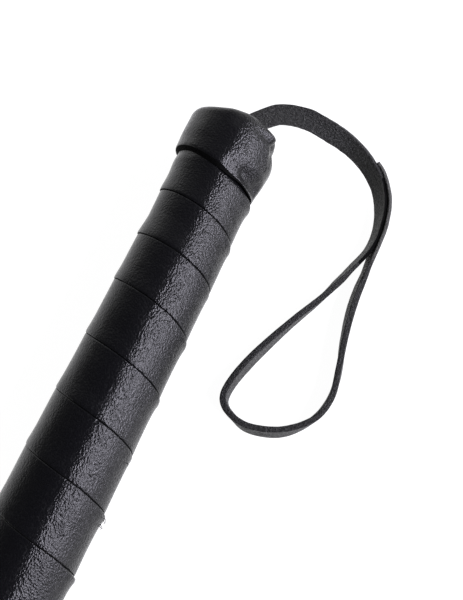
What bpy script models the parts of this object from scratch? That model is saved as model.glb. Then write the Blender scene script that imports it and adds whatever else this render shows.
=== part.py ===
"""Riding crop with a leather-wrapped handle and a wrist strap, lying on its side.

Metres, +Z up. The crop's axis runs along X: the butt end points to +X and the keeper to -X.
Lengths along the crop are stations: the distance from the butt end towards the keeper.
"""
import math

import bmesh
import bpy
from mathutils import Vector

MM = 0.001

# Driving dimensions
TOTAL_LENGTH = 0.630
BAND_RADIUS = 0.0175
AXIS_Z = BAND_RADIUS
BUTT_X = TOTAL_LENGTH / 2
GAP = 0.0003
TINY = 0.00001
CUTTER_REACH = 0.04
SIDES = 36

# Handle, in stations and radii
LIP_THICKNESS = 0.0012
LIP_RADIUS = 0.0125
DISC_THICKNESS = 0.0018
CORE_START = LIP_THICKNESS + DISC_THICKNESS + 2 * GAP
CORE_END = 0.224
CORE_RADIUS = 0.0126
BORE_RADIUS = 0.0048
BORE_START = 0.070
PADDING_THICKNESS = 0.0010
WRAP_THICKNESS = 0.0018
WRAP_RADIUS = CORE_RADIUS + PADDING_THICKNESS + WRAP_THICKNESS + 2 * GAP
WRAP_PITCH = 0.0202
WRAP_END = 0.2232
# The wound strip's edge passes this station at its start, 20 degrees past the side towards +Y.
WRAP_EDGE_AT = 0.0354
WRAP_START_TURN = 110
BAND_EDGE = 0.0225
BAND_EDGE_SLOPE = 0.294
BAND_ROUND = 0.0018
COLLAR_START = 0.2068
COLLAR_BEVEL = 0.0006

# Shaft
FERRULE_START = CORE_END + 0.0005
FERRULE_END = 0.248
FERRULE_RIM = 0.0025
FERRULE_LIP = 0.0030
FERRULE_STEPS = 6
TAPER_START = 0.250
ROD_START = 0.076
ROD_END = 0.556
ROD_RADIUS = 0.0045
ROD_TIP_RADIUS = 0.0022
COVER_THICKNESS = 0.0010
FERRULE_BIG_RADIUS = WRAP_RADIUS - 0.0004
FERRULE_SMALL_RADIUS = ROD_RADIUS + COVER_THICKNESS + 0.0008
COVER_END = 0.5397
NECK_START = 0.540
NECK_END = 0.5585
NECK_RADIUS = 0.0039
THREAD_LAYER = 0.0007
THREAD_BEVEL = 0.0003
COVER_WHIPPING = (FERRULE_END + 0.0010, FERRULE_END + 0.0100)
TIP_WHIPPING = (NECK_START + 0.0010, NECK_END - 0.0015)

# Keeper
HINGE_STATION = 0.560
KEEPER_START = 0.5625
KEEPER_WIDTH = 0.028
KEEPER_NECK_WIDTH = 0.010
KEEPER_SHOULDER = 0.020
KEEPER_CORNER = 0.009
LEAF_THICKNESS = 0.0016

# Wrist strap
STRAP_WIDTH = 0.0080
STRAP_THICKNESS = 0.0016
STRAP_Y = -0.0010
SWING_X = 0.0020
ROOT_END = 0.033
SLOT_END = 0.036
SLOT_PAST_BUTT = 0.0020
SLOT_CLEARANCE = 0.0004
WEDGE_START = 0.0045
WEDGE_THICK = 0.0016
WEDGE_THIN = 0.0008
PIN_RADIUS = 0.0009
PIN_HOLE_RADIUS = 0.0012
PIN_HALF_LENGTH = 0.0100
STRAP_PIN_STATIONS = (0.013, 0.025)
SHAFT_PIN_STATION = 0.190
SHAFT_PIN_HALF_LENGTH = 0.0110
STRAP_SAMPLES = 12
STRAP_POINTS = 76

# The strap's route, chosen by hand: millimetres from the centre of the butt end along X and Y,
# height above the table, and lean in degrees. At 0 the strap stands on its edge, and a positive
# lean tips its upper edge to the left of the way it runs, so that at 90 it lies flat.
STRAP_ROUTE = (
    (5.6, -3.9, 17.6, 90),
    (8.3, -6.2, 17.7, 88),
    (13.4, -11.9, 17.5, 82),
    (16.2, -20.6, 16.2, 66),
    (16.6, -30.0, 13.6, 48),
    (15.7, -39.3, 10.8, 34),
    (12.9, -47.6, 8.1, 25),
    (7.8, -54.6, 6.2, 25),
    (0.4, -59.4, 4.9, 22),
    (-8.6, -61.9, 4.3, 16),
    (-17.9, -62.0, 4.2, 17),
    (-28.3, -58.7, 4.2, 19),
    (-42.6, -53.4, 4.2, 9),
    (-57.8, -46.1, 4.2, 1),
    (-73.9, -39.3, 4.2, -7),
    (-85.8, -35.7, 4.2, -8),
    (-93.0, -35.7, 4.2, -7),
    (-96.9, -40.4, 4.2, -8),
    (-98.5, -48.0, 4.2, 2),
    (-95.0, -58.8, 4.2, 5),
    (-86.9, -66.9, 4.2, -5),
    (-77.4, -69.9, 4.2, -2),
    (-66.7, -68.9, 4.2, 7),
    (-54.4, -66.2, 4.2, -1),
    (-41.0, -64.6, 4.2, -8),
    (-27.0, -64.6, 4.2, -10),
    (-17.5, -64.5, 4.5, -16),
    (-8.1, -64.1, 4.7, -17),
    (1.7, -61.5, 5.2, -22),
    (9.5, -56.1, 6.4, -25),
    (13.1, -51.6, 7.2, -25),
)

crop = None
cutters = None


def new_collection(name):
    collection = bpy.data.collections.new(name)
    bpy.context.scene.collection.children.link(collection)
    return collection


def material(name, colour, roughness, metallic=0.0):
    """A Principled material, made once for each name."""
    found = bpy.data.materials.get(name)
    if found:
        return found
    made = bpy.data.materials.new(name)
    made.use_nodes = True
    shader = made.node_tree.nodes["Principled BSDF"]
    shader.inputs["Base Color"].default_value = (*colour, 1.0)
    shader.inputs["Roughness"].default_value = roughness
    shader.inputs["Metallic"].default_value = metallic
    made.diffuse_color = (*colour, 1.0)
    return made


def black_leather():
    return material("black_leather", (0.012, 0.012, 0.014), 0.42)


def rough_leather():
    return material("rough_leather", (0.022, 0.022, 0.023), 0.78)


def wood():
    return material("beech", (0.45, 0.29, 0.16), 0.6)


def steel():
    return material("steel", (0.55, 0.55, 0.56), 0.35, 1.0)


def felt():
    return material("felt", (0.16, 0.16, 0.17), 0.95)


def thread():
    return material("black_thread", (0.016, 0.016, 0.018), 0.55)


def fibreglass():
    return material("fibreglass", (0.050, 0.050, 0.048), 0.4)


def moulding():
    return material("black_moulding", (0.014, 0.014, 0.015), 0.5)


def place(name, data, finish, collection=None):
    """A new object from mesh or curve data, in the crop's collection."""
    made = bpy.data.objects.new(name, data)
    (collection or crop).objects.link(made)
    if finish:
        data.materials.append(finish)
    return made


def as_cutter(obj):
    obj.hide_render = True
    obj.display_type = "WIRE"
    return obj


def cut(obj, cutter, operation="DIFFERENCE"):
    modifier = obj.modifiers.new("cut_" + cutter.name, "BOOLEAN")
    modifier.operation = operation
    modifier.object = cutter


def on_axis(obj):
    """Turns local +Z to the butt end, with the origin at the centre of the butt end."""
    obj.location = (BUTT_X, 0.0, AXIS_Z)
    obj.rotation_euler = (0.0, math.pi / 2, 0.0)
    return obj


def turned(name, profile, finish, ring=False):
    """A turned piece. The profile's (station, radius) points run down its outer side from the butt."""
    mesh = bpy.data.meshes.new(name)
    points = [(radius, 0.0, -station) for station, radius in profile]
    edges = [(index, index + 1) for index in range(len(points) - 1)]
    if ring:
        edges.append((len(points) - 1, 0))
    mesh.from_pydata(points, edges, [])
    obj = on_axis(place(name, mesh, finish))
    screw = obj.modifiers.new("turn", "SCREW")
    screw.axis = "Z"
    screw.steps = SIDES
    screw.render_steps = SIDES
    screw.use_merge_vertices = True
    screw.merge_threshold = TINY
    screw.use_smooth_shade = True
    return obj


def rod_radius(station):
    """The rod is straight in the handle and tapers to its tip."""
    run = max(0.0, (station - TAPER_START) / (ROD_END - TAPER_START))
    return ROD_RADIUS + (ROD_TIP_RADIUS - ROD_RADIUS) * run


def tube(name, start, end, inner, outer, finish):
    """A turned sleeve whose inner and outer radii are given at both ends."""
    profile = [(start, outer[0]), (end, outer[1]), (end, inner[1]), (start, inner[0])]
    return turned(name, profile, finish, ring=True)


def box_cutter(name, low, high):
    """A box from its lowest to its highest corner, in world metres."""
    mesh = bpy.data.meshes.new(name)
    shape = bmesh.new()
    bmesh.ops.create_cube(shape, size=1.0)
    size = Vector(high) - Vector(low)
    bmesh.ops.scale(shape, vec=size, verts=shape.verts)
    bmesh.ops.translate(shape, vec=(Vector(low) + Vector(high)) / 2, verts=shape.verts)
    shape.to_mesh(mesh)
    shape.free()
    return as_cutter(place(name, mesh, None, cutters))


def round_bar(name, station, axis, radius, half_length, finish=None):
    """A bar across the crop at a station, along world Y or Z. Without a finish it is a cutter."""
    mesh = bpy.data.meshes.new(name)
    shape = bmesh.new()
    bmesh.ops.create_cone(
        shape,
        cap_ends=True,
        segments=16,
        radius1=radius,
        radius2=radius,
        depth=2 * half_length,
    )
    shape.to_mesh(mesh)
    shape.free()
    obj = place(name, mesh, finish, crop if finish else cutters)
    side = STRAP_Y if axis == "Z" else 0.0
    obj.location = (BUTT_X - station, side, AXIS_Z)
    if axis == "Y":
        obj.rotation_euler = (math.pi / 2, 0.0, 0.0)
    if not finish:
        as_cutter(obj)
    return obj


# Handle


def strap_slot(name, half_height_low, half_height_high, end):
    """The slot that the strap goes through, open at the butt."""
    half_width = STRAP_WIDTH / 2 + SLOT_CLEARANCE
    low = (BUTT_X - end, STRAP_Y - half_width, AXIS_Z - half_height_low)
    high = (BUTT_X + SLOT_PAST_BUTT, STRAP_Y + half_width, AXIS_Z + half_height_high)
    return box_cutter(name, low, high)


def make_core(pin_holes, shaft_pin_hole):
    profile = [
        (CORE_START, 0.0),
        (CORE_START, CORE_RADIUS),
        (CORE_END, CORE_RADIUS),
        (CORE_END, BORE_RADIUS),
        (BORE_START, BORE_RADIUS),
        (BORE_START, 0.0),
    ]
    core = turned("handle_core", profile, wood())
    low = STRAP_THICKNESS / 2 + SLOT_CLEARANCE
    high = STRAP_THICKNESS / 2 + WEDGE_THICK + 2 * SLOT_CLEARANCE
    cut(core, strap_slot("core_slot", low, high, SLOT_END))
    for hole in pin_holes:
        cut(core, hole)
    cut(core, shaft_pin_hole)


def make_padding():
    inner = CORE_RADIUS + GAP
    outer = inner + PADDING_THICKNESS
    tube("handle_padding", CORE_START, CORE_END, (inner, inner), (outer, outer), felt())


def make_butt_disc():
    start = LIP_THICKNESS + GAP
    radius = CORE_RADIUS + GAP + PADDING_THICKNESS
    end = start + DISC_THICKNESS
    profile = [(start, 0.0), (start, radius), (end, radius), (end, 0.0)]
    disc = turned("butt_disc", profile, rough_leather())
    half_height = STRAP_THICKNESS / 2 + SLOT_CLEARANCE
    cut(disc, strap_slot("disc_slot", half_height, half_height, SLOT_END))


def make_wrap():
    """One strip wound as a helix whose turns run on by one pitch, cut square at both ends."""
    name = "grip_wrap"
    inner = WRAP_RADIUS - WRAP_THICKNESS
    width = WRAP_PITCH - GAP
    turns = math.ceil(WRAP_END / WRAP_PITCH) + 2
    start = WRAP_EDGE_AT - 2 * WRAP_PITCH - width
    mesh = bpy.data.meshes.new(name)
    end = start + width
    corners = [(WRAP_RADIUS, -start), (WRAP_RADIUS, -end), (inner, -end), (inner, -start)]
    mesh.from_pydata([(x, 0.0, z) for x, z in corners], [(0, 1), (1, 2), (2, 3), (3, 0)], [])
    strip = on_axis(place(name, mesh, black_leather()))
    # Local +X points down, so the turn is counted from below.
    strip.rotation_euler.rotate_axis("Z", math.radians(WRAP_START_TURN))
    screw = strip.modifiers.new("wind", "SCREW")
    screw.axis = "Z"
    screw.steps = SIDES
    screw.render_steps = SIDES
    screw.iterations = turns
    screw.screw_offset = -WRAP_PITCH
    screw.use_smooth_shade = True
    close_ends(strip)
    reach = CUTTER_REACH
    low = (BUTT_X - CORE_START, -reach, AXIS_Z - reach)
    high = (BUTT_X + 3 * WRAP_PITCH, reach, AXIS_Z + reach)
    cut(strip, box_cutter("wrap_butt_trim", low, high))
    low = (BUTT_X - WRAP_END - 4 * WRAP_PITCH, -reach, AXIS_Z - reach)
    high = (BUTT_X - WRAP_END, reach, AXIS_Z + reach)
    cut(strip, box_cutter("wrap_tip_trim", low, high))


def close_ends(obj):
    """Applies the modifiers and fills the open ends of a wound strip."""
    graph = bpy.context.evaluated_depsgraph_get()
    mesh = bpy.data.meshes.new_from_object(obj.evaluated_get(graph))
    obj.modifiers.clear()
    shape = bmesh.new()
    shape.from_mesh(mesh)
    open_edges = [edge for edge in shape.edges if edge.is_boundary]
    bmesh.ops.holes_fill(shape, edges=open_edges, sides=0)
    bmesh.ops.recalc_face_normals(shape, faces=shape.faces)
    shape.to_mesh(mesh)
    shape.free()
    obj.data = mesh


def make_band():
    """The last, wider turn. Its rim folds over the butt end and its edge runs askew."""
    inner = WRAP_RADIUS + GAP
    longest = BAND_EDGE + BAND_EDGE_SLOPE * BAND_RADIUS + BAND_ROUND
    half_way = BAND_ROUND * (1 - math.sqrt(0.5))
    profile = [
        (0.0, LIP_RADIUS),
        (0.0, BAND_RADIUS - BAND_ROUND),
        (half_way, BAND_RADIUS - half_way),
        (BAND_ROUND, BAND_RADIUS),
        (longest, BAND_RADIUS),
        (longest, inner),
        (CORE_START - 2 * GAP, inner),
        (LIP_THICKNESS, inner - 2 * GAP),
        (LIP_THICKNESS, LIP_RADIUS),
    ]
    band = turned("butt_band", profile, black_leather(), ring=True)
    reach = CUTTER_REACH
    trim = box_cutter("band_trim", (-reach, -reach, -reach), (0.0, reach, reach))
    trim.location = (BUTT_X - BAND_EDGE, 0.0, AXIS_Z)
    trim.rotation_euler = (0.0, 0.0, -math.atan(BAND_EDGE_SLOPE))
    cut(band, trim)


def make_collar():
    inner = WRAP_RADIUS + GAP
    profile = [
        (COLLAR_START, BAND_RADIUS - COLLAR_BEVEL),
        (COLLAR_START + COLLAR_BEVEL, BAND_RADIUS),
        (CORE_END - COLLAR_BEVEL, BAND_RADIUS),
        (CORE_END, BAND_RADIUS - COLLAR_BEVEL),
        (CORE_END, inner),
        (COLLAR_START, inner),
    ]
    turned("end_collar", profile, black_leather(), ring=True)


def make_ferrule():
    """A hollow-sided cone from the handle's end down to the shaft."""
    big = FERRULE_BIG_RADIUS
    small = FERRULE_SMALL_RADIUS
    slope_start = FERRULE_START + FERRULE_RIM
    slope_length = FERRULE_END - FERRULE_LIP - slope_start
    profile = [(FERRULE_START, big), (slope_start, big)]
    for step in range(1, FERRULE_STEPS + 1):
        run = step / FERRULE_STEPS
        fall = math.sin(run * math.pi / 2)
        profile.append((slope_start + slope_length * run, big + (small - big) * fall))
    profile += [(FERRULE_END, small), (FERRULE_END, BORE_RADIUS), (FERRULE_START, BORE_RADIUS)]
    turned("end_ferrule", profile, moulding(), ring=True)


# Shaft


def make_rod(shaft_pin_hole):
    profile = [
        (ROD_START, 0.0),
        (ROD_START, ROD_RADIUS),
        (TAPER_START, ROD_RADIUS),
        (ROD_END, ROD_TIP_RADIUS),
        (ROD_END, 0.0),
    ]
    rod = turned("shaft_rod", profile, fibreglass())
    cut(rod, shaft_pin_hole)


def make_cover():
    start = FERRULE_END + GAP
    inner = [rod_radius(start) + GAP, rod_radius(COVER_END) + GAP]
    outer = [radius + COVER_THICKNESS for radius in inner]
    profile = [(start, outer[0]), (TAPER_START, outer[0]), (COVER_END, outer[1])]
    profile += [(COVER_END, inner[1]), (TAPER_START, inner[0]), (start, inner[0])]
    turned("shaft_cover", profile, thread(), ring=True)


def make_whipping(name, start, end, inner):
    outer = inner + THREAD_LAYER
    profile = [
        (start, outer - THREAD_BEVEL),
        (start + THREAD_BEVEL, outer),
        (end - THREAD_BEVEL, outer),
        (end, outer - THREAD_BEVEL),
        (end, inner),
        (start, inner),
    ]
    turned(name, profile, thread(), ring=True)


def make_neck():
    inner = rod_radius(NECK_START) + GAP
    tube("keeper_neck", NECK_START, NECK_END, (inner, inner), (NECK_RADIUS, NECK_RADIUS), black_leather())


# Keeper


def keeper_half_width(run):
    """Half width of the keeper at a distance from its start: an S-shaped shoulder, then straight."""
    if run >= KEEPER_SHOULDER:
        return KEEPER_WIDTH / 2
    blend = 0.5 - 0.5 * math.cos(math.pi * run / KEEPER_SHOULDER)
    return (KEEPER_NECK_WIDTH + (KEEPER_WIDTH - KEEPER_NECK_WIDTH) * blend) / 2


def keeper_outline():
    """One side from the neck to the tip, then back along the other, from the hinge line."""
    start = KEEPER_START - HINGE_STATION
    end = TOTAL_LENGTH - HINGE_STATION
    side = []
    for step in range(9):
        run = KEEPER_SHOULDER * step / 8
        side.append((start + run, keeper_half_width(run)))
    for step in range(6):
        turn = math.radians(90 * step / 5)
        x = end - KEEPER_CORNER + KEEPER_CORNER * math.sin(turn)
        y = KEEPER_WIDTH / 2 - KEEPER_CORNER + KEEPER_CORNER * math.cos(turn)
        side.append((x, y))
    return side + [(x, -y) for x, y in reversed(side)]


def make_leaf(name, side):
    """A flat leaf of the keeper, in a vertical plane, with its origin on the keeper's flex axis."""
    curve = bpy.data.curves.new(name, "CURVE")
    curve.dimensions = "2D"
    curve.fill_mode = "BOTH"
    curve.extrude = LEAF_THICKNESS / 2
    outline = keeper_outline()
    spline = curve.splines.new("POLY")
    spline.points.add(len(outline) - 1)
    for point, (x, y) in zip(spline.points, outline):
        point.co = (x, y, 0.0, 1.0)
    spline.use_cyclic_u = True
    leaf = place(name, curve, black_leather())
    offset = side * (LEAF_THICKNESS + GAP) / 2
    leaf.location = (BUTT_X - HINGE_STATION, offset, AXIS_Z)
    leaf.rotation_euler = (math.pi / 2, 0.0, math.pi)


# Wrist strap


def make_root(pin_holes):
    """The strap's end in the slot, with the wedge on top of it. It comes out of the butt and ends
    round about the axis that the free strap swings on."""
    half = STRAP_WIDTH / 2
    low = (BUTT_X - ROOT_END, STRAP_Y - half, AXIS_Z - STRAP_THICKNESS / 2)
    high = (BUTT_X + SWING_X + half, STRAP_Y + half, AXIS_Z + STRAP_THICKNESS / 2)
    root = box_piece("strap_root", low, high, rough_leather())
    round_end(root, high[0], half)
    floor = AXIS_Z + STRAP_THICKNESS / 2 + GAP
    low = (BUTT_X - ROOT_END, STRAP_Y - half, floor)
    high = (BUTT_X - WEDGE_START, STRAP_Y + half, floor + WEDGE_THICK)
    wedge = box_piece("strap_wedge", low, high, wood())
    middle = (low[0] + high[0]) / 2
    for vertex in wedge.data.vertices:
        if vertex.co.z > floor + GAP and vertex.co.x < middle:
            vertex.co.z = floor + WEDGE_THIN
    for hole in pin_holes:
        cut(root, hole)
        cut(wedge, hole)


def round_end(piece, end_x, radius):
    """Rounds the two upright edges of a box at its end towards +X."""
    shape = bmesh.new()
    shape.from_mesh(piece.data)
    upright = [
        edge
        for edge in shape.edges
        if all(abs(vertex.co.x - end_x) < GAP for vertex in edge.verts)
        and abs(edge.verts[0].co.z - edge.verts[1].co.z) > GAP
    ]
    bmesh.ops.bevel(
        shape, geom=upright, offset=radius - TINY, segments=6, profile=0.5, affect="EDGES"
    )
    shape.to_mesh(piece.data)
    shape.free()


def box_piece(name, low, high, finish):
    piece = box_cutter(name, low, high)
    cutters.objects.unlink(piece)
    crop.objects.link(piece)
    piece.hide_render = False
    piece.display_type = "TEXTURED"
    piece.data.materials.append(finish)
    return piece


def smooth_route(route, samples):
    """Points on a smooth curve (Catmull-Rom) through the route's own points."""
    points = [Vector(point) for point in route]
    ends = [2 * points[0] - points[1]] + points + [2 * points[-1] - points[-2]]
    result = []
    for index in range(1, len(ends) - 2):
        before, here, there, after = ends[index - 1 : index + 3]
        for sample in range(samples):
            t = sample / samples
            result.append(
                0.5
                * (
                    2 * here
                    + (there - before) * t
                    + (2 * before - 5 * here + 4 * there - after) * t**2
                    + (3 * here - before - 3 * there + after) * t**3
                )
            )
    result.append(points[-1])
    return result


def even_points(points, count):
    """That many points, evenly spaced along a fine line of (position, lean) points."""
    reach = [0.0]
    for (here, _), (there, _) in zip(points, points[1:]):
        reach.append(reach[-1] + (there - here).length)
    result = []
    index = 0
    for number in range(count):
        target = reach[-1] * number / (count - 1)
        while index < len(reach) - 2 and reach[index + 1] < target:
            index += 1
        share = (target - reach[index]) / (reach[index + 1] - reach[index])
        here, there = points[index], points[index + 1]
        result.append((here[0].lerp(there[0], share), here[1] + (there[1] - here[1]) * share))
    return result


def make_wrist_strap():
    """The free strap: a flat curve that leans as its route says, with its origin at the butt end."""
    curve = bpy.data.curves.new("wrist_strap", "CURVE")
    curve.dimensions = "3D"
    curve.fill_mode = "FULL"
    curve.use_fill_caps = True
    curve.twist_mode = "Z_UP"
    edge = STRAP_THICKNESS / 2
    curve.bevel_depth = edge
    curve.bevel_resolution = 1
    curve.extrude = STRAP_WIDTH / 2 - edge
    centre = Vector((0.0, 0.0, AXIS_Z))
    fine = smooth_route(STRAP_ROUTE, STRAP_SAMPLES)
    points = even_points([(point.xyz * MM, point.w) for point in fine], STRAP_POINTS)
    spline = curve.splines.new("POLY")
    spline.points.add(len(points) - 1)
    for point, (place_at, lean) in zip(spline.points, points):
        point.co = (*(place_at - centre), 1.0)
        point.tilt = -math.radians(lean)
    strap = place("wrist_strap", curve, rough_leather())
    strap.location = (BUTT_X, 0.0, AXIS_Z)


def main():
    global crop, cutters
    for old in list(bpy.data.objects):
        bpy.data.objects.remove(old)
    crop = new_collection("riding_crop")
    cutters = new_collection("cutters")

    pin_holes = [
        round_bar(f"strap_pin_hole_{number}", station, "Z", PIN_HOLE_RADIUS, 2 * CORE_RADIUS)
        for number, station in enumerate(STRAP_PIN_STATIONS, 1)
    ]
    shaft_pin_hole = round_bar("shaft_pin_hole", SHAFT_PIN_STATION, "Y", PIN_HOLE_RADIUS, 2 * CORE_RADIUS)
    for number, station in enumerate(STRAP_PIN_STATIONS, 1):
        round_bar(f"strap_pin_{number}", station, "Z", PIN_RADIUS, PIN_HALF_LENGTH, steel())
    round_bar("shaft_pin", SHAFT_PIN_STATION, "Y", PIN_RADIUS, SHAFT_PIN_HALF_LENGTH, steel())

    make_core(pin_holes, shaft_pin_hole)
    make_padding()
    make_wrap()
    make_band()
    make_butt_disc()
    make_collar()
    make_ferrule()
    make_rod(shaft_pin_hole)
    make_cover()
    cover_outer = rod_radius(FERRULE_END) + GAP + COVER_THICKNESS
    make_whipping("cover_whipping", *COVER_WHIPPING, cover_outer + GAP)
    make_neck()
    make_whipping("tip_whipping", *TIP_WHIPPING, NECK_RADIUS + GAP)
    make_leaf("keeper_front", 1)
    make_leaf("keeper_back", -1)
    make_root(pin_holes)
    make_wrist_strap()


main()
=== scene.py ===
"""Riding crop: the looks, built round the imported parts. Metres, +Z up.

The crop's axis runs along X, with the butt at +X. A station is a distance in millimetres from
the butt end towards the keeper, and a negative one is beyond the butt. Angles round the handle
are in degrees: 0 is the side towards +Y, 90 the top, 180 the side towards -Y.
"""
import math

import bpy
import numpy as np
from mathutils import Matrix, Vector, noise


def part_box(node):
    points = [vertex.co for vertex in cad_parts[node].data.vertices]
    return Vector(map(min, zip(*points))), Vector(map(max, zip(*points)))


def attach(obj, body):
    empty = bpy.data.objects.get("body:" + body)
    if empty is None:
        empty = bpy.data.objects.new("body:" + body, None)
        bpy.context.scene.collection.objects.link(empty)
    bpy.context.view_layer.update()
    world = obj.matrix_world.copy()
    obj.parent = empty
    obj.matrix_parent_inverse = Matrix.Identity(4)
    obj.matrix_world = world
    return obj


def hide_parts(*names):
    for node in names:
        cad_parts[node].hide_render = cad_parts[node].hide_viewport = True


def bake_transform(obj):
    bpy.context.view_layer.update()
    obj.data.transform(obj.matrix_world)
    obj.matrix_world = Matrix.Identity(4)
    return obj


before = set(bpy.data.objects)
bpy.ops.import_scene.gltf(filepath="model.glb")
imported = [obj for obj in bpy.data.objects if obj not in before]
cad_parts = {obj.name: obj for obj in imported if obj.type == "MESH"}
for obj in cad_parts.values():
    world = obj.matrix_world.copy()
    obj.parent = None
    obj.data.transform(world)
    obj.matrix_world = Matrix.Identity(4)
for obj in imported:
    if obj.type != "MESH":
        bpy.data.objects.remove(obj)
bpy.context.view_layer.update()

scene = bpy.context.scene
MM = 0.001

# The butt end and the height of the crop's axis, which the parts give, in metres
band_low, band_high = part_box("butt_band")
BUTT_X = band_high.x
AXIS_Z = (band_low.z + band_high.z) / 2
BUTT = np.array([BUTT_X, 0.0, 0.0])


def station(x):
    return (BUTT_X - x) / MM


def span(node):
    """A node's stations, from its butt end to its keeper end."""
    low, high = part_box(node)
    return station(high.x), station(low.x)


def radius_of(node):
    """A node's outer radius in millimetres."""
    low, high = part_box(node)
    return (high.z - low.z) / 2 / MM


# Smooth values, noise and blends


def smooth(values, at):
    """Catmull-Rom through evenly counted values, read at fractional counts."""
    knots = np.asarray(values, float)
    at = np.clip(np.asarray(at, float), 0, len(knots) - 1)
    knots = np.concatenate([[2 * knots[0] - knots[1]], knots, [2 * knots[-1] - knots[-2]]])
    index = np.clip(np.floor(at).astype(int), 0, len(knots) - 4)
    t = at - index
    before, here, there, after = (knots[index + step] for step in range(4))
    if knots.ndim == 2:
        t = t[:, None]
    return 0.5 * (
        2 * here
        + (there - before) * t
        + (2 * before - 5 * here + 4 * there - after) * t**2
        + (3 * here - before - 3 * there + after) * t**3
    )


def ease(low, high, value):
    """0 below low, 1 above high, and smooth between them."""
    t = np.clip((np.asarray(value, float) - low) / (high - low), 0, 1)
    return t * t * (3 - 2 * t)


def window(angle, middle, half, soft):
    """1 within half degrees of the middle angle, falling to 0 over the soft degrees beyond."""
    away = np.abs((np.asarray(angle, float) - middle + 180) % 360 - 180)
    return 1 - ease(half, half + soft, away)


def bump(value, middle, width):
    """A smooth hump that is 1 at the middle and falls to 0.37 a width away."""
    return np.exp(-(((np.asarray(value, float) - middle) / width) ** 2))


# How far apart two seeds read the noise
NOISE_STEP = np.array([17.3, 5.1, 9.7])


def rough(points, scale, seed):
    """Smooth noise from -1 to 1 at points in millimetres, with features of about that scale."""
    points = np.asarray(points, float)
    flat = points.reshape(-1, 3) / scale + seed * NOISE_STEP
    values = np.array([noise.noise(point) for point in flat.tolist()])
    return values.reshape(points.shape[:-1])


def round_axis(stations, radii, angles):
    """World points at these stations, radii and angles, as arrays of one shape."""
    stations, radii, angles = np.broadcast_arrays(stations, radii, np.radians(angles))
    x = BUTT_X - stations * MM
    y = radii * np.cos(angles) * MM
    z = AXIS_Z + radii * np.sin(angles) * MM
    return np.stack([x, y, z], axis=-1)


# Meshes


def skin(name, grid, around=False, finishes=None, shade=None, sharp=35):
    """A closed mesh over a grid of points, whose rows are closed rings.

    The rows join round to the first if around is set, and else the end rings are capped. Its UV
    map is in metres: U runs along the rows and V round each ring. finishes gives each column's
    material number, and shade gives each point a value from 0 to 1.
    """
    rows, columns = grid.shape[:2]
    numbers = np.arange(rows * columns).reshape(rows, columns)
    rings = rows if around else rows - 1
    here = np.arange(rings)
    there = (here + 1) % rows
    left = numbers[here]
    right = numbers[there]
    quads = np.stack(
        [left, right, np.roll(right, -1, axis=1), np.roll(left, -1, axis=1)], axis=-1
    ).reshape(-1, 4)

    step_along = np.linalg.norm(np.diff(grid, axis=0, append=grid[:1]), axis=-1).mean(axis=1)
    along = np.concatenate([[0.0], np.cumsum(step_along)])
    step_round = np.linalg.norm(np.roll(grid, -1, axis=1) - grid, axis=-1)
    round_by = np.concatenate([np.zeros((rows, 1)), np.cumsum(step_round, axis=1)], axis=1)
    i, j = np.meshgrid(here, np.arange(columns), indexing="ij")
    corners = [(i, j), (i + 1, j), (i + 1, j + 1), (i, j + 1)]
    uv = np.stack(
        [np.stack([along[row], round_by[row % rows, column]], axis=-1) for row, column in corners],
        axis=-2,
    ).reshape(-1, 4, 2)

    middle = grid.reshape(-1, 3).mean(axis=0)
    a, b, c, d = (grid.reshape(-1, 3)[quads[:, corner]] - middle for corner in range(4))
    volume = np.einsum("ij,ij->i", a, np.cross(b, c) + np.cross(c, d)).sum()
    if volume < 0:
        quads = quads[:, ::-1]
        uv = uv[:, ::-1]
    faces = quads.tolist()
    corner_uv = uv.reshape(-1, 2)
    if not around:
        first = numbers[0].tolist()
        last = numbers[-1][::-1].tolist()
        if volume < 0:
            first.reverse()
            last.reverse()
        faces += [first, last]
        corner_uv = np.concatenate([corner_uv, np.zeros((2 * columns, 2))])

    mesh = bpy.data.meshes.new(name)
    mesh.from_pydata(grid.reshape(-1, 3).tolist(), [], faces)
    layer = mesh.uv_layers.new(name="strip")
    layer.data.foreach_set("uv", corner_uv.astype(np.float32).ravel())
    if finishes is not None:
        per_face = np.tile(np.asarray(finishes), rings)
        per_face = np.concatenate([per_face, np.full(len(faces) - len(per_face), max(finishes))])
        mesh.polygons.foreach_set("material_index", per_face.astype(np.int32))
    if shade is not None:
        attribute = mesh.attributes.new("shade", "FLOAT", "POINT")
        attribute.data.foreach_set("value", np.asarray(shade, np.float32).ravel())
    mesh.shade_smooth()
    mesh.set_sharp_from_angle(angle=math.radians(sharp))
    mesh.validate()
    piece = bpy.data.objects.new(name, mesh)
    scene.collection.objects.link(piece)
    return piece


def dress(piece, *materials):
    for material in materials:
        piece.data.materials.append(material)


def joined(name, pieces):
    """One piece from several meshes that share their materials."""
    bpy.ops.object.select_all(action="DESELECT")
    for piece in pieces:
        piece.select_set(True)
    bpy.context.view_layer.objects.active = pieces[0]
    bpy.ops.object.join()
    pieces[0].name = name
    pieces[0].data.name = name
    return pieces[0]


def thread_points(centre, tangent, normal, radius, sides):
    """Rings of points round a line, one for each of its points."""
    other = np.cross(tangent, normal)
    turn = np.linspace(0, 2 * math.pi, sides, endpoint=False)[None, :, None]
    radius = np.broadcast_to(radius, centre.shape[:1])[:, None, None]
    across = normal[:, None] * np.cos(turn) + other[:, None] * np.sin(turn)
    return centre[:, None] + across * radius


def unit(vectors):
    return vectors / np.linalg.norm(vectors, axis=-1, keepdims=True)


def thread_piece(name, centre, aside, radius, sides, sharp=35):
    """A thread through points, which never runs in the direction aside."""
    tangent = unit(np.gradient(centre, axis=0))
    normal = unit(np.cross(tangent, np.array(aside)))
    return skin(name, thread_points(centre, tangent, normal, radius, sides), sharp=sharp)


# Materials


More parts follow.
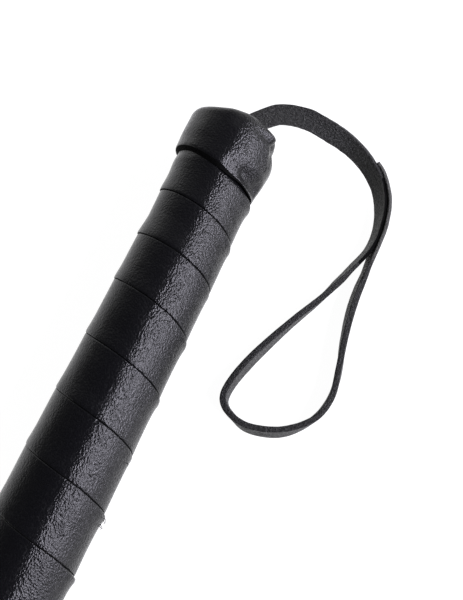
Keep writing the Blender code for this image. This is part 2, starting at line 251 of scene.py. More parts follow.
def new_material(name, **constants):
    """A node material, its tree and its Principled shader with these values on its sockets."""
    material = bpy.data.materials.new(name)
    material.use_nodes = True
    shader = material.node_tree.nodes["Principled BSDF"]
    for socket, value in constants.items():
        shader.inputs[socket.replace("_", " ")].default_value = value
    return material, material.node_tree, shader


def node(tree, kind, inputs=None, **settings):
    """A node with its settings, whose inputs are sockets to link or values to set."""
    made = tree.nodes.new("ShaderNode" + kind)
    for key, value in settings.items():
        setattr(made, key, value)
    for key, value in (inputs or {}).items():
        if isinstance(value, bpy.types.NodeSocket):
            tree.links.new(value, made.inputs[key])
        else:
            made.inputs[key].default_value = value
    return made


def math_node(tree, operation, first, second, third=0.0):
    return node(tree, "Math", {0: first, 1: second, 2: third}, operation=operation).outputs[0]


def coordinates(tree, uv, stretch=(1, 1, 1)):
    """The strip's own UV map, or the piece's own space, stretched along its axes."""
    if uv:
        source = node(tree, "UVMap", uv_map="strip").outputs["UV"]
    else:
        source = node(tree, "TexCoord").outputs["Object"]
    return node(tree, "Mapping", {"Vector": source, "Scale": stretch}).outputs["Vector"]


def fractal(tree, vector, scale, detail=2.0, roughness=0.5, distortion=0.0):
    inputs = {"Vector": vector, "Scale": scale, "Detail": detail}
    inputs |= {"Roughness": roughness, "Distortion": distortion}
    return node(tree, "TexNoise", inputs).outputs["Fac"]


def spread(tree, value, low, high, to_low, to_high):
    """A value from one range, clamped and read in another."""
    inputs = {"Value": value, "From Min": low, "From Max": high, "To Min": to_low, "To Max": to_high}
    return node(tree, "MapRange", inputs).outputs["Result"]


def two_colours(tree, value, dark, light, low=0.3, high=0.7):
    inputs = {0: spread(tree, value, low, high, 0, 1), 6: (*dark, 1), 7: (*light, 1)}
    return node(tree, "Mix", inputs, data_type="RGBA").outputs[2]


def overlaid(tree, colour, over, share):
    """A colour with a plain one laid over it by a share from 0 to 1."""
    return node(tree, "Mix", {0: share, 6: colour, 7: (*over, 1)}, data_type="RGBA").outputs[2]


def paint(tree, shader, pattern, dark, light):
    """Colours the shader by a pattern."""
    tree.links.new(two_colours(tree, pattern, dark, light), shader.inputs["Base Color"])


def polish(tree, shader, pattern, low, high, to_low, to_high):
    """Sets the shader's roughness by a pattern."""
    tree.links.new(spread(tree, pattern, low, high, to_low, to_high), shader.inputs["Roughness"])


def relief(tree, shader, height, distance, strength=1.0):
    """Bump of a height that runs from 0 to 1; strength is a number or a socket."""
    made = node(tree, "Bump", {"Height": height, "Distance": distance, "Strength": strength})
    tree.links.new(made.outputs["Normal"], shader.inputs["Normal"])


LEATHER_DARK = (0.002, 0.002, 0.0024)
LEATHER_LIGHT = (0.004, 0.004, 0.0047)
# The relief's share on the side stretched smooth, and where that ends and the full grain starts
SMOOTH_SHARE = 0.4
SMOOTH_FROM_Y = -0.0025
GRAINED_FROM_Y = -0.0078


def grained_leather(name, gloss, depth):
    """Black leather with a fine pebble grain, pulled into creases across the strip in places.
    gloss is its least and most roughness before the pebbles add theirs."""
    material, tree, shader = new_material(name, IOR=1.3)
    plain = coordinates(tree, True)
    pulled = coordinates(tree, True, (1.0, 0.42, 1.0))
    patches = fractal(tree, plain, 110, 2)
    cells = {"Vector": plain, "Scale": 1450, "Smoothness": 0.2, "Randomness": 0.9}
    pebbles = node(tree, "TexVoronoi", cells, feature="SMOOTH_F1").outputs["Distance"]
    creases = fractal(tree, pulled, 1500, 2, 0.55, 0.4)
    pores = fractal(tree, plain, 2300, 3, 0.65)
    crease_share = spread(tree, patches, 0.40, 0.62, 0.6, 1.4)
    pebble_share = spread(tree, patches, 0.36, 0.62, -1.3, -0.8)
    height = math_node(tree, "MULTIPLY", pebbles, pebble_share)
    height = math_node(tree, "MULTIPLY_ADD", creases, crease_share, height)
    height = math_node(tree, "MULTIPLY_ADD", pores, 0.25, height)
    paint(tree, shader, pores, LEATHER_DARK, LEATHER_LIGHT)
    glossy = spread(tree, patches, 0.3, 0.7, *gloss)
    dull = spread(tree, pebbles, 0.45, 0.8, 0.0, 0.15)
    tree.links.new(math_node(tree, "ADD", glossy, dull), shader.inputs["Roughness"])
    side = node(tree, "SeparateXYZ", {0: coordinates(tree, False)}).outputs["Y"]
    strength = spread(tree, side, SMOOTH_FROM_Y, GRAINED_FROM_Y, SMOOTH_SHARE, 1.0)
    relief(tree, shader, height, depth, strength)
    return material


def grained(name, place, pattern, colours, gloss, depth, **constants):
    """One noise for colour, roughness and relief. place and pattern are what coordinates and
    fractal take, and gloss is the least and most roughness."""
    material, tree, shader = new_material(name, **constants)
    grain = fractal(tree, coordinates(tree, *place), *pattern)
    paint(tree, shader, grain, *colours)
    polish(tree, shader, grain, 0.3, 0.7, *gloss)
    relief(tree, shader, grain, depth)
    return material


def cut_leather(name):
    """The dyed, dull face of a cut edge."""
    colours = (0.0006, 0.0006, 0.0006), (0.002, 0.002, 0.002)
    pattern = (2600, 4, 0.7)
    return grained(name, (True,), pattern, colours, (0.75, 0.95), 0.00015, Specular_IOR_Level=0.04)


# Strap leather's darkest and palest specks; a pale colour for its edges on the way back and its painted
# rim highlight; a dark one for its edges on the way out and its painted shadow where it is glued
STRAP_DARK = (0.0006, 0.0006, 0.0005)
STRAP_LIGHT = (0.021, 0.0215, 0.019)
STRAP_PALE_EDGE_AND_PAINTED_HIGHLIGHT = (0.055, 0.055, 0.05)
STRAP_DARK_EDGE_AND_PAINTED_SHADOW = (0.0006, 0.0006, 0.0006)


def fibrous_leather(name, uv=True):
    """Dull strap leather, dyed through, with short fibres.

    With a UV map, the mesh's shade makes it paler above 0.5, towards the pale edge and painted
    highlight colour, and darker below, towards the dark edge and painted shadow colour.
    """
    material, tree, shader = new_material(name, IOR=1.35, Sheen_Weight=0.03, Sheen_Roughness=0.5)
    plain = coordinates(tree, uv)
    combed = coordinates(tree, uv, (0.35, 1.0, 1.0))
    fibres = fractal(tree, combed, 1500, 5, 0.7, 0.8)
    specks = fractal(tree, plain, 1100, 3, 0.75)
    patches = fractal(tree, plain, 140, 2)
    colour = two_colours(tree, specks, STRAP_DARK, STRAP_LIGHT, 0.46, 0.68)
    if uv:
        shade = node(tree, "Attribute", attribute_name="shade").outputs["Fac"]
        colour = overlaid(tree, colour, STRAP_PALE_EDGE_AND_PAINTED_HIGHLIGHT, spread(tree, shade, 0.5, 1.0, 0, 1))
        colour = overlaid(tree, colour, STRAP_DARK_EDGE_AND_PAINTED_SHADOW, spread(tree, shade, 0.5, 0.0, 0, 1))
    tree.links.new(colour, shader.inputs["Base Color"])
    dull = spread(tree, patches, 0.3, 0.7, 0.5, 0.62)
    glossy = spread(tree, specks, 0.35, 0.6, 0.14, -0.14)
    tree.links.new(math_node(tree, "ADD", dull, glossy), shader.inputs["Roughness"])
    height = math_node(tree, "MULTIPLY_ADD", specks, 1.4, fibres)
    relief(tree, shader, height, 0.00055)
    return material


def turned_wood():
    """Beech, with its grain along the handle and short darker flecks."""
    material, tree, shader = new_material("beech")
    grain = fractal(tree, coordinates(tree, False, (0.05, 1, 1)), 900, 5, 0.6, 0.4)
    flecks = fractal(tree, coordinates(tree, False, (0.2, 1, 1)), 2200, 2)
    colour = two_colours(tree, grain, (0.30, 0.17, 0.085), (0.52, 0.35, 0.20))
    colour = overlaid(tree, colour, (0.16, 0.08, 0.04), spread(tree, flecks, 0.62, 0.72, 0, 0.6))
    tree.links.new(colour, shader.inputs["Base Color"])
    polish(tree, shader, grain, 0.3, 0.7, 0.5, 0.68)
    relief(tree, shader, grain, 0.00015)
    return material


def drawn_steel():
    place = (False, (0.1, 1, 0.1))
    colours = (0.42, 0.42, 0.43), (0.62, 0.62, 0.63)
    return grained("steel", place, (3000, 4, 0.6), colours, (0.24, 0.42), 0.00003, Metallic=1.0)


def pressed_felt():
    colours = (0.10, 0.10, 0.11), (0.22, 0.22, 0.23)
    sheen = {"Sheen_Weight": 0.3, "Sheen_Roughness": 0.6}
    return grained("felt", (False,), (1700, 6, 0.75, 1.5), colours, (0.88, 1.0), 0.0004, **sheen)


def glass_fibre():
    """A pultruded rod: glass rovings in black resin, all along it."""
    place = (False, (0.02, 1, 1))
    colours = (0.010, 0.010, 0.010), (0.028, 0.028, 0.027)
    return grained("fibreglass", place, (2600, 4, 0.6), colours, (0.3, 0.5), 0.00004)


def black_moulding():
    """Satin black plastic with a fine spark-eroded texture and faint rub marks round it."""
    material, tree, shader = new_material("black_moulding")
    pits = fractal(tree, coordinates(tree, False), 4200, 3, 0.6)
    rubs = fractal(tree, coordinates(tree, False, (1, 0.06, 0.06)), 1400, 3)
    paint(tree, shader, rubs, (0.008, 0.008, 0.009), (0.017, 0.017, 0.018))
    polish(tree, shader, rubs, 0.35, 0.7, 0.34, 0.52)
    relief(tree, shader, pits, 0.00006)
    return material


def waxed_thread(name, fineness):
    """Black thread with its yarns laid at a slant across the strand."""
    material, tree, shader = new_material(name, Sheen_Weight=0.08, Sheen_Roughness=0.4)
    place = coordinates(tree, True, (fineness, fineness, 1))
    lay = {"Vector": place, "Scale": 1.0, "Distortion": 1.2, "Detail": 2.0}
    yarns = node(tree, "TexWave", lay, bands_direction="DIAGONAL").outputs["Fac"]
    fuzz = fractal(tree, coordinates(tree, True), 4200, 3, 0.7)
    paint(tree, shader, fuzz, (0.006, 0.006, 0.007), (0.02, 0.02, 0.021))
    polish(tree, shader, yarns, 0, 1, 0.62, 0.42)
    height = math_node(tree, "MULTIPLY_ADD", fuzz, 0.4, yarns)
    relief(tree, shader, height, 0.00008)
    return material


def floor_paper():
    """Pale sheet, lit from below as well, so that shadows on it stay faint."""
    material, tree, shader = new_material(
        "floor_paper",
        Specular_IOR_Level=0.2,
        Roughness=0.85,
        Emission_Color=(1, 1, 1, 1),
        Emission_Strength=FLOOR_GLOW,
    )
    tooth = fractal(tree, coordinates(tree, False), 300, 3)
    paint(tree, shader, tooth, (0.13, 0.13, 0.13), (0.15, 0.15, 0.15))
    relief(tree, shader, tooth, 0.00005)
    return material


# Camera, light and floor

# The camera's place in metres from the butt end, its angles, and its lens in millimetres
CAMERA_FROM_BUTT = (-0.1437, -0.0611, 0.2751)
CAMERA_DOWN = 71.95
CAMERA_HEADING = 23.96
CAMERA_LENS = 49.44
CAMERA_SENSOR = 36.0
CAMERA_NEAREST = 0.01
FLOOR_GLOW = 0.97
FLOOR_HALF = 15.0
# The sky's levels by height, from the horizon to straight up
SKY_STOPS = ((0.0, 0.6), (0.09, 0.36), (0.34, 0.2), (0.7, 0.09), (0.9, 0.035), (1.0, 0.03))
SKY_LEVEL = 1.1
SKY_BEYOND_BUTT = 5.0
SOFTBOX_COLOUR = (0.89, 0.87, 1.0)


def make_camera():
    data = bpy.data.cameras.new("camera")
    data.sensor_fit = "AUTO"
    data.sensor_width = CAMERA_SENSOR
    data.lens = CAMERA_LENS
    data.clip_start = CAMERA_NEAREST
    camera = bpy.data.objects.new("camera", data)
    camera.location = Vector((BUTT_X, 0.0, AXIS_Z)) + Vector(CAMERA_FROM_BUTT)
    camera.rotation_euler = (math.radians(90 - CAMERA_DOWN), 0.0, math.radians(CAMERA_HEADING - 90))
    scene.collection.objects.link(camera)
    scene.camera = camera


def make_sky():
    """A pale surround at the horizon under a dark ceiling, and brighter beyond the butt end."""
    world = bpy.data.worlds.new("studio")
    scene.world = world
    world.use_nodes = True
    tree = world.node_tree
    direction = node(tree, "TexCoord").outputs["Generated"]
    parts = node(tree, "SeparateXYZ", {0: direction}).outputs
    ramp = node(tree, "ValToRGB", {0: parts["Z"]})
    points = ramp.color_ramp.elements
    while len(points) < len(SKY_STOPS):
        points.new(0.5)
    for point, (place, level) in zip(points, SKY_STOPS):
        point.position = place
        point.color = (level, level, level, 1)
    strength = spread(tree, parts["X"], 0.2, 0.55, SKY_LEVEL, SKY_BEYOND_BUTT)
    background = tree.nodes["Background"]
    tree.links.new(ramp.outputs["Color"], background.inputs["Color"])
    tree.links.new(strength, background.inputs["Strength"])


def make_softbox(name, top, bottom, middle_x, length, level):
    """A rectangle of light along X, between two heights on the side towards -Y.

    top and bottom are (degrees from straight up, distance) as seen from the handle.
    """
    target = Vector((middle_x, 0.0, AXIS_Z))
    high, low = (
        target + distance * Vector((0.0, -math.sin(math.radians(turn)), math.cos(math.radians(turn))))
        for turn, distance in (top, bottom)
    )
    data = bpy.data.lights.new(name, "AREA")
    data.shape = "RECTANGLE"
    data.size = length
    data.size_y = (high - low).length
    data.energy = level * math.pi * data.size * data.size_y
    data.color = SOFTBOX_COLOUR
    light = bpy.data.objects.new(name, data)
    along = Vector((1.0, 0.0, 0.0))
    up = (high - low).normalized()
    turned_to = Matrix((along, up, along.cross(up))).transposed().to_4x4()
    light.matrix_world = Matrix.Translation((high + low) / 2) @ turned_to
    light.visible_camera = False
    scene.collection.objects.link(light)


def make_floor():
    mesh = bpy.data.meshes.new("floor")
    corners = [(-1, -1), (1, -1), (1, 1), (-1, 1)]
    mesh.from_pydata([(x * FLOOR_HALF, y * FLOOR_HALF, 0.0) for x, y in corners], [], [(0, 1, 2, 3)])
    floor = bpy.data.objects.new("floor", mesh)
    scene.collection.objects.link(floor)
    dress(floor, floor_paper())


# Wrist strap: the cord

# Its section, and its root's shift to the side and reach into the slot
STRAP_WIDTH = 8.0
STRAP_THICKNESS = 1.6
STRAP_EDGE = 0.38
STRAP_SECTIONS = 520
SIDE_SHIFT = -1.0
ROOT_START = 33.0
ROOT_SECTIONS = 60
SLOT_MOUTH = 1.0
# Its free thickness, what the loop has more, and what glued stretches have less
TAIL_THICKNESS = 1.7
LOOP_THICKER = 0.6
GLUED_THINNER = 0.2
# Where its end is glued to its tail, by distance along it, and the end's glued length
BOND_START = 62.0
BOND_END = 103.0
BOND_FADE_IN = 8.0
BOND_FADE_OUT = 9.0
GLUED_LENGTH = 42.0
# Its shades: more is paler, less is darker. The bond's edges and the glued face are darkened as a
# painted shadow and the loop's inside as painted shade, a rim is lightened as a painted highlight, and
# faces below the last level take the dull black of a painted shadow
SHADE_PLAIN = 0.5
SHADE_EDGE = 0.3
SHADE_BOND_PAINTED_SHADOW = 0.25
SHADE_GLUED_FACE_PAINTED_SHADOW = 0.5
SHADE_LOOP_INSIDE_PAINTED_SHADE = 0.3
SHADE_RIM_PAINTED_HIGHLIGHT = 0.8
SHADE_RIM_BONDED_PAINTED_HIGHLIGHT = 0.2
PAINTED_SHADOW_BELOW = 0.1
# A painted highlight along the strap's upper outer corner
HIGHLIGHT_RIM_WIDTH = 0.5
HIGHLIGHT_RIM_DEPTH = 0.12

# The free strap's route, in millimetres from the butt end's centre along X and Y, height above the
# table, and lean in degrees. At 0 the strap stands on its edge, and a positive lean tips its upper
# edge to the left of the way it runs, so that at 90 it lies flat.
STRAP_ROUTE = (
    (-1.0, -1.0, 17.5, 90), (2.2, -2.0, 17.5, 90), (5.6, -3.9, 17.6, 90),
    (8.3, -6.2, 17.7, 88), (13.4, -11.9, 17.5, 82), (16.2, -20.6, 16.2, 66),
    (16.6, -30.0, 13.6, 48), (15.7, -39.3, 10.8, 34), (12.9, -47.6, 8.1, 25),
    (7.8, -54.6, 6.2, 25), (0.4, -59.4, 4.9, 22), (-8.6, -61.9, 4.3, 16),
    (-17.9, -62.0, 4.2, 17), (-28.3, -58.7, 4.2, 19), (-42.6, -53.4, 4.2, 9),
    (-57.8, -46.1, 4.2, 1), (-73.9, -39.3, 4.2, -7), (-85.8, -35.7, 4.2, -8),
    (-93.0, -35.7, 4.2, -7), (-96.9, -40.4, 4.2, -8), (-98.5, -48.0, 4.2, 2),
    (-95.0, -58.8, 4.2, 5), (-86.9, -66.9, 4.2, -5), (-77.4, -69.9, 4.2, -2),
    (-66.7, -68.9, 4.2, 7), (-54.4, -66.2, 4.2, -1), (-41.0, -64.3, 4.2, -8),
    (-27.0, -64.0, 4.2, -10), (-17.5, -63.8, 4.5, -16), (-8.1, -63.4, 4.7, -17),
    (1.4, -60.7, 5.2, -22), (9.0, -55.5, 6.4, -25), (12.4, -51.1, 7.2, -25),
)


def reach_along(points):
    """Each point's distance from the first along the line through them."""
    return np.concatenate([[0], np.cumsum(np.linalg.norm(np.diff(points, axis=0), axis=1))])


def even_route(route, count):
    """Evenly spaced points on the smooth route, as (x, y, z, lean) rows, and their distances."""
    fine = smooth(route, np.linspace(0, len(route) - 1, 40 * len(route)))
    reach = reach_along(fine[:, :3])
    even = np.linspace(0, reach[-1], count)
    return np.stack([np.interp(even, reach, column) for column in fine.T], axis=1), even


def strap_thickness(reach, total):
    """The strap's thickness along it: pared down where its end is glued to its tail."""
    loop = ease(BOND_END, BOND_END + BOND_FADE_OUT, reach)
    bonded = ease(BOND_START, BOND_START + BOND_FADE_IN, reach) * (1 - loop)
    end = total - GLUED_LENGTH
    bonded = bonded + ease(end - BOND_FADE_OUT, end, reach)
    return TAIL_THICKNESS + LOOP_THICKER * loop * (1 - bonded) - GLUED_THINNER * bonded


def strap_ring():
    """The section's points as (across the width, through the thickness, share of edge), in
    millimetres, with its corners rounded."""
    half = STRAP_WIDTH / 2
    thick = STRAP_THICKNESS / 2
    flat = half - STRAP_EDGE
    ring = [(across, thick, 0.0) for across in np.linspace(-flat, flat, 13)]
    corner = []
    for turn in np.radians((30, 60, 90)):
        through = thick - STRAP_EDGE * (1 - math.cos(turn))
        corner.append((flat + STRAP_EDGE * math.sin(turn), through, 1.0))
    ring += corner
    ring.append((half, 0.0, 1.0))
    ring += [(across, -through, 1.0) for across, through, _ in reversed(corner)]
    # The other half is the same, turned half round
    return np.concatenate([ring, np.array(ring) * np.array([-1, -1, 1])])


def strap_skin(rows, reach, thickness, seed):
    """A flat leather strap along (x, y, z, lean) rows, with hand-cut edges."""
    place = rows[:, :3]
    lean = np.radians(rows[:, 3])[:, None]
    tangent = unit(np.gradient(place, axis=0))
    up = np.array([0.0, 0.0, 1.0])
    left = unit(np.cross(up, tangent))
    across = up * np.cos(lean) + left * np.sin(lean)
    across = unit(across - tangent * (across * tangent).sum(axis=1, keepdims=True))
    through = np.cross(tangent, across)
    ring = strap_ring()
    far = reach[:, None]
    # The two cut edges waver apart, and the two faces have lumps of their own
    edge_place = np.stack(np.broadcast_arrays(far, 40 * np.sign(ring[:, 0]), 0.0), axis=-1)
    waver = 0.16 * rough(edge_place, 9, seed) + 0.11 * rough(edge_place, 2.0, seed + 1)
    width = ring[:, 0] * (1 + waver / (STRAP_WIDTH / 2))
    skin_place = np.stack(np.broadcast_arrays(far, ring[:, 0], 30 * ring[:, 1]), axis=-1)
    lumps = 0.05 * rough(skin_place, 3.0, seed + 2) + 0.03 * rough(skin_place, 1.1, seed + 3)
    depth = ring[:, 1] * thickness[:, None] / STRAP_THICKNESS
    depth = depth + np.sign(ring[:, 1]) * lumps * (1 - 0.4 * ring[:, 2])
    grid = place[:, None] + across[:, None] * width[..., None] + through[:, None] * depth[..., None]
    return grid, ring


def make_wrist_strap(leather, painted_shadow):
    rows, reach = even_route(STRAP_ROUTE, STRAP_SECTIONS)
    grid, ring = strap_skin(rows, reach, strap_thickness(reach, reach[-1]), 3)
    far = reach[:, None]
    edge_part = ring[None, :, 2]
    back = reach[-1] - GLUED_LENGTH
    returning = ease(back - 4, back + 4, far)
    fading_in = ease(BOND_START, BOND_START + BOND_FADE_IN, far)
    bonded = fading_in * (1 - ease(BOND_END - 4, BOND_END + 2, far))
    in_loop = ease(BOND_END, BOND_END + BOND_FADE_OUT, far) * (1 - returning)
    shade = SHADE_PLAIN - SHADE_EDGE * edge_part * (1 - returning) + SHADE_EDGE * edge_part * returning
    # Along the bond the tail's edges are darkened as a painted shadow of the end lane beside them
    shade = shade - SHADE_BOND_PAINTED_SHADOW * bonded * edge_part
    inner_face = np.where(ring[:, 1] > 0, 1.0, 0.0) * (1 - ring[:, 2])
    # The glued end lane's inner face is darkened as a painted shadow
    shade = shade - SHADE_GLUED_FACE_PAINTED_SHADOW * inner_face * returning
    # The loop's inner face is darkened as painted shade
    shade = shade - SHADE_LOOP_INSIDE_PAINTED_SHADE * inner_face * in_loop
    # A thin line along the strap's upper outer corner is lightened as a painted highlight, more along
    # the bond
    at_side = ring[:, 0] > STRAP_WIDTH / 2 - HIGHLIGHT_RIM_WIDTH
    at_face = ring[:, 1] > STRAP_THICKNESS / 2 - HIGHLIGHT_RIM_DEPTH
    rim = np.where(at_side & at_face, 1, 0)
    shade = shade + (SHADE_RIM_PAINTED_HIGHLIGHT + SHADE_RIM_BONDED_PAINTED_HIGHLIGHT * bonded - shade) * rim * fading_in
    strap = skin("strap_leather_loop", grid * MM + BUTT, shade=shade, sharp=50)
    # Faces dark all round, on the glued face and the bond's edges, take the dull black of a painted
    # shadow
    darkness = shade.reshape(-1)
    for face in strap.data.polygons:
        if max(darkness[corner] for corner in face.vertices) < PAINTED_SHADOW_BELOW:
            face.material_index = 1
    dress(strap, leather, painted_shadow)
    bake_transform(strap)
    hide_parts("wrist_strap")


def make_strap_root(leather):
    """The strap's end in the slot, as far as the mouth, where the free strap goes on."""
    along = np.linspace(-ROOT_START, -SLOT_MOUTH - 0.1, ROOT_SECTIONS)
    rows = np.stack(np.broadcast_arrays(along, SIDE_SHIFT, AXIS_Z / MM, 90.0), axis=1)
    grid, ring = strap_skin(rows, along + ROOT_START, np.full(ROOT_SECTIONS, STRAP_THICKNESS), 7)
    shade = np.broadcast_to(SHADE_PLAIN - SHADE_EDGE * ring[:, 2], grid.shape[:2])
    root = skin("strap_leather_root", grid * MM + BUTT, shade=shade, sharp=50)
    dress(root, leather)
    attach(root, "handle")
    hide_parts("strap_root")


# Handle: the butt band and the wound strip under it

RIGHT_SIDE = 185
# The rim's inner radius and the station of its back, and the radius of the band's bore
BAND_LIP = 12.5
BAND_BACK = 1.2
BAND_INNER = 16.22
# Mesh columns on the outside, the folded rim, its back and the bore, and rows round it
BAND_COLUMNS = 34
LIP_COLUMNS = 10
BACK_COLUMNS = 5
INSIDE_COLUMNS = 9
BAND_ROWS = 300
# The band's radius at its fullest, and how far and over what length it rounds off to the rim
BAND_FULL = 17.65
BAND_DROP = 3.3
BAND_ROUNDED = 4.0
# Swellings, and dents below 0, as (size, angle, half width and soft sides in degrees, station,
# spread)
BAND_DENTS = (
    (-1.9, RIGHT_SIDE, 20, 18, 3.4, 3.3),
    (-0.55, 150, 18, 14, 4.0, 1.1),
    (0.45, RIGHT_SIDE, 22, 24, 10.8, 3.2),
)
# The same beside the butt end, full up to one station and gone at the next
BAND_BUTT_DENTS = (
    (0.25, 10, 40, 30, 11, 17),
    (-0.9, 122, 22, 20, 0.5, 8.5),
)
# The same beside the cut edge, by distance from it: the slack edge, and a flare towards -Y
BAND_EDGE_DENTS = (
    (-1.15, 165, 46, 26, 0.5, 9.5),
    (-1.6, 151, 17, 14, 3.2, 9.0),
    (2.5, 151, 17, 14, -1.6, 3.8),
)


def band_edge(angle):
    """The station of the band's cut edge, which runs askew."""
    turn = np.radians(angle)
    return 21.0 - 3.7 * np.cos(turn) + 0.9 * np.sin(turn)


def band_radius(stations, angle):
    """The band's outer radius: fullest at its middle, tucked in on the side towards -Y."""
    turn = np.radians(angle)
    full = BAND_FULL + 0.33 * np.cos(turn) + 0.15 * np.sin(turn)
    inward = np.clip(1 - stations / BAND_ROUNDED, 0, 1)
    full = full - BAND_DROP * (1 - np.sqrt(np.clip(1 - inward**2.3, 0, 1)))
    for size, *place, middle, width in BAND_DENTS:
        full = full + size * window(angle, *place) * bump(stations, middle, width)
    for size, *place, kept, gone in BAND_BUTT_DENTS:
        full = full + size * window(angle, *place) * (1 - ease(kept, gone, stations))
    to_edge = band_edge(angle) - stations
    for size, *place, kept, gone in BAND_EDGE_DENTS:
        full = full + size * window(angle, *place) * (1 - ease(kept, gone, to_edge))
    # A narrow crease from the butt end, and a lump beside it
    full = full - 0.4 * bump(angle, 160, 5) * (1 - ease(8, 13, stations))
    return full + 1.6 * bump(angle, 151, 17) * bump(stations, 1.6, 2.2)


def band_front(angle):
    """How far the folded rim stands back from the butt end: it isn't quite even."""
    return 0.85 * bump(angle, 60, 25) - 1.3 * bump(angle, 110, 26)


def band_inside(stations, angle):
    """The bore's radius: the band stays at least 0.3 mm thick."""
    return np.minimum(BAND_INNER, band_radius(stations, angle) - 0.3)


def make_band(leather, cut):
    """A wide turn of leather folded over the butt, as rings of one section for each angle."""
    angles = np.linspace(0, 360, BAND_ROWS, endpoint=False)[:, None]
    edge = band_edge(angles) + 0.1 * np.sin(np.radians(angles) * 5)
    outer_at = edge * (1 - np.linspace(0, 1, BAND_COLUMNS) ** 1.15)[None]
    worn = 0.22 * np.exp(-(edge - outer_at) / 0.35)
    outer_radius = band_radius(outer_at, angles) - worn
    outer_at = outer_at + band_front(angles) * (1 - ease(0, 6, outer_at))
    front = outer_radius[:, -1:]
    lip_share = np.linspace(0.12, 1, LIP_COLUMNS)[None]
    lip_radius = front + (BAND_LIP - front) * lip_share
    pleats = np.sin(np.radians(angles) * 23 + 1.5 * np.sin(np.radians(angles) * 3))
    puff = 0.35 * np.sin(math.pi * lip_share) + 0.16 * pleats * lip_share
    ragged = 0.25 * pleats * ease(0.8, 1, lip_share)
    lip_at = band_front(angles) * (1 - 0.7 * lip_share) - puff
    back_out = band_inside(np.full_like(angles, BAND_ROUNDED), angles)
    back_radius = BAND_LIP + (back_out - BAND_LIP) * np.linspace(0, 1, BACK_COLUMNS)[None]
    back_at = np.full_like(back_radius, BAND_BACK)
    slant = 0.35 + 0.95 * window(angles, 60, 50, 30)
    inner_at = BAND_BACK + (edge + slant - BAND_BACK) * np.linspace(0.08, 1, INSIDE_COLUMNS)[None]
    inner_radius = band_inside(np.minimum(inner_at, edge), angles)
    stations = np.concatenate([outer_at, lip_at, back_at, inner_at], axis=1)
    radii = np.concatenate([outer_radius, lip_radius + ragged, back_radius, inner_radius], axis=1)
    where = round_axis(stations, radii, angles) / MM
    outside = np.arange(stations.shape[1]) < BAND_COLUMNS + LIP_COLUMNS
    stretched = where * np.array([0.4, 1, 1])
    lumps = 0.10 * rough(where, 9, 11) + 0.02 * rough(stretched, 2.4, 12)
    radii = radii + lumps * outside * ease(0, 2.0, edge - stations + 0.3)
    grid = round_axis(stations, radii, angles)
    finishes = np.zeros(stations.shape[1], int)
    finishes[-1] = 1
    band = skin("band_leather", grid, around=True, finishes=finishes)
    dress(band, leather, cut)
    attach(band, "handle")
    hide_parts("butt_band")


# Stations of the wound strip's free edge at 22 degrees, turn after turn, hand-wound and uneven
WRAP_ANGLE = 22
WRAP_EDGES = (0.5, 18.0, 35.5, 54.0, 72.5, 94.0, 115.0, 135.5, 156.5, 177.5, 198.5, 219.0, 240.0)
# Its turns, sections for each, its lap under the next turn, the radius it lies on, its edge's
# thickness, and its clearance
WRAP_FIRST = -0.75
WRAP_LAST = 11.1
WRAP_STEPS = 150
WRAP_LAP = 3.0
WRAP_BOTTOM = 14.25
WRAP_STRIP = 0.55
WRAP_CLEAR = 0.12

# The wound handle's radius by station, on the sides towards +Y and -Y: it isn't quite straight
WRAP_STATIONS = (0, 20, 23, 28, 46, 56, 80, 100, 118, 135, 160, 200, 228, 240)
WRAP_LEFT = (15.9, 16.2, 16.35, 15.9, 15.45, 15.8, 15.9, 16.1, 16.45, 16.65, 16.7, 16.5, 15.8, 15.7)
WRAP_RIGHT = (15.6, 15.55, 15.55, 15.85, 16.1, 16.4, 16.4, 16.45, 16.5, 16.5, 16.4, 16.3, 15.8, 15.7)

# How far each turn swells out beside the edge that lies over it, on the side towards -Y
WRAP_SWELLS = (1.0, 1.0, 0.95, 0.45, 0.5, 1.05, 0.45, 0.55, 1.5, 0.5, 0.8, 0.6, 0.6)


def wrap_edge(turn):
    return smooth(WRAP_EDGES, np.asarray(turn) + 1)


def along_noise(turn, scale, seed):
    """Noise along the strip, the same at every point across it."""
    turn = np.asarray(turn, float)
    return rough(np.stack(np.broadcast_arrays(turn * 100, 0.0, 0.0), axis=-1), scale, seed)


def wrap_lift(turn):
    """How far the strip's free edge stands up."""
    angle = WRAP_ANGLE + 360 * turn
    lift = 0.34 + 0.16 * along_noise(turn, 23, 21) + 0.10 * along_noise(turn, 7, 22)
    return lift * (1 - 0.75 * window(angle, RIGHT_SIDE, 25, 40))


def wrap_rest(at, angle):
    """The radius at which the strip lies flat."""
    left = np.interp(at, WRAP_STATIONS, WRAP_LEFT)
    right = np.interp(at, WRAP_STATIONS, WRAP_RIGHT)
    share = 0.5 - 0.5 * np.cos(np.radians(angle - 10))
    return left + (right - left) * share


def wrap_swell(turn, beyond):
    """How far the strip swells out at a distance beyond the edge of the turn over it."""
    angle = WRAP_ANGLE + 360 * turn
    size = smooth(WRAP_SWELLS, turn + 1) * window(angle, RIGHT_SIDE + 5, 20, 30)
    return size * ease(0.1, 1.3, beyond) * np.exp(-np.maximum(beyond - 1.3, 0) / 2.8)


def wrap_surface(turn, behind):
    """The strip's radius at a distance behind its free edge, where it isn't covered."""
    angle = WRAP_ANGLE + 360 * turn
    resting = wrap_rest(wrap_edge(turn) - behind, angle)
    return resting + wrap_lift(turn) * np.exp(-((behind / 4.2) ** 2))


